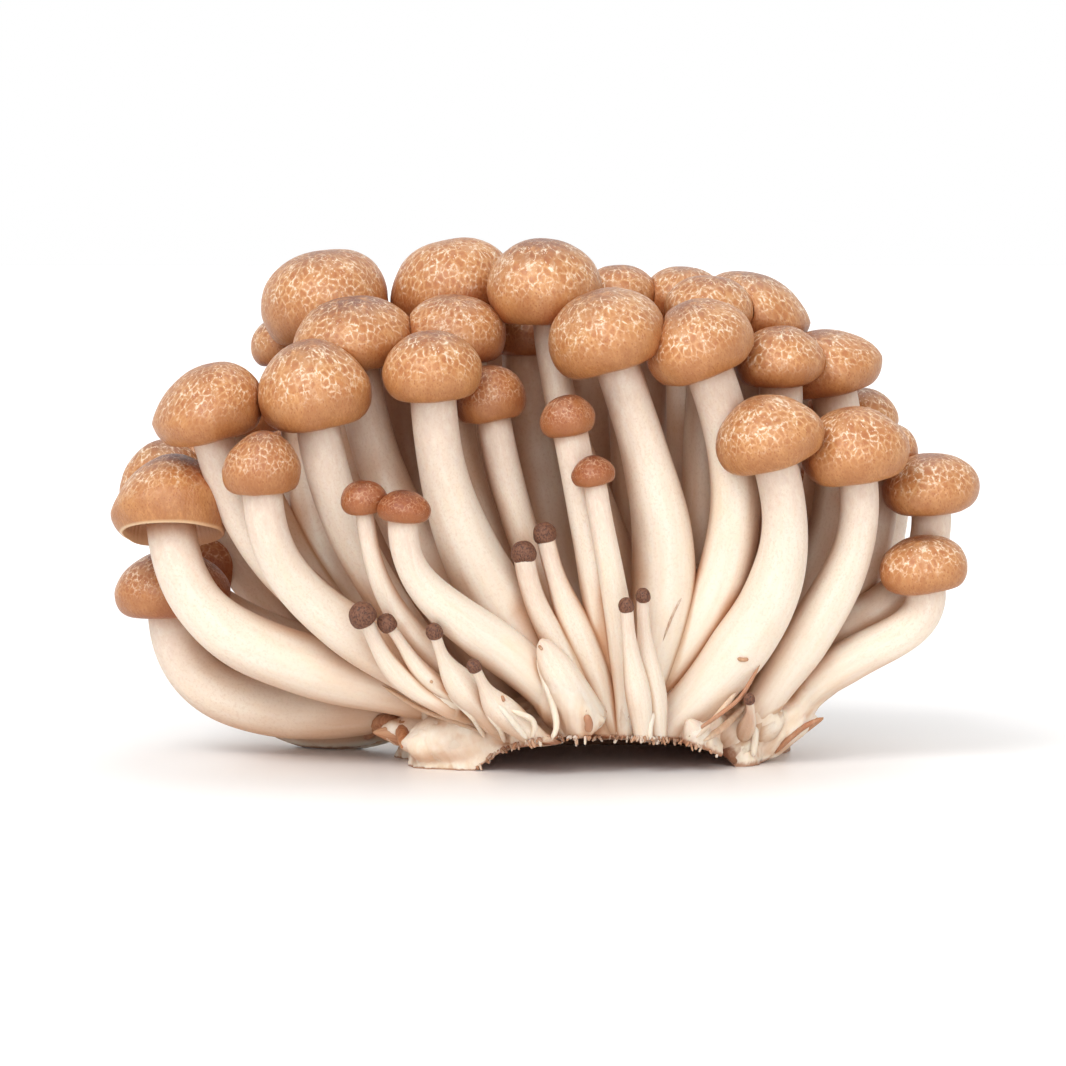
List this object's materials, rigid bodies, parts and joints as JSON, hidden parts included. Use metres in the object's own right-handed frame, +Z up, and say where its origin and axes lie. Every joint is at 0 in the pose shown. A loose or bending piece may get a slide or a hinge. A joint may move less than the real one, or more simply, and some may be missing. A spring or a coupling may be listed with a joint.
{
  "type": "mushroom cluster",
  "caption": "Cluster of brown beech mushrooms with patterned domed caps on curved cream stems, fused into one base that stands on its cut face.",
  "frame": {"origin": "centre of the cluster's box in X and Y, at the level of the cut base", "axes": "+X to the right across the fan of stems, +Y away from the front with the pins, +Z up"},
  "size_m": [0.1379, 0.0766, 0.0828],
  "materials": {
    "flesh": "satin",
    "cap_skin": "satin",
    "pin_skin": "matte"
  },
  "bodies": {
    "root": {"cap_01": "cap_skin", "cap_02": "cap_skin", "cap_03": "cap_skin", "cap_04": "cap_skin", "cap_05": "cap_skin", "cap_06": "cap_skin", "cap_07": "cap_skin", "cap_08": "cap_skin", "cap_09": "cap_skin", "cap_10": "cap_skin", "cap_11": "cap_skin", "cap_12": "cap_skin", "cap_13": "cap_skin", "cap_14": "cap_skin", "cap_15": "cap_skin", "cap_16": "cap_skin", "cap_17": "cap_skin", "cap_18": "cap_skin", "cap_19": "cap_skin", "cap_20": "cap_skin", "cap_21": "cap_skin", "cap_22": "cap_skin", "cap_23": "cap_skin", "cap_24": "cap_skin", "cap_25": "cap_skin", "cap_26": "cap_skin", "cap_27": "cap_skin", "cap_28": "cap_skin", "cap_29": "cap_skin", "cap_30": "cap_skin", "cap_31": "cap_skin", "cap_32": "cap_skin", "cap_33": "cap_skin", "cap_34": "cap_skin", "cap_35": "cap_skin", "cap_36": "cap_skin", "cap_37": "cap_skin", "cap_38": "cap_skin", "cap_39": "cap_skin", "cap_40": "cap_skin", "cap_41": "cap_skin", "cap_42": "cap_skin", "cap_43": "cap_skin", "cap_44": "cap_skin", "cap_45": "cap_skin", "cap_46": "cap_skin", "cap_47": "cap_skin", "cap_48": "cap_skin", "cap_49": "cap_skin", "cap_50": "cap_skin", "pin_cap_1": "pin_skin", "pin_cap_2": "pin_skin", "pin_cap_3": "pin_skin", "pin_cap_4": "pin_skin", "pin_cap_5": "pin_skin", "pin_cap_6": "pin_skin", "pin_cap_7": "pin_skin", "pin_cap_8": "pin_skin", "pin_cap_9": "pin_skin", "stems_and_base": "flesh"}
  },
  "joints": []
}
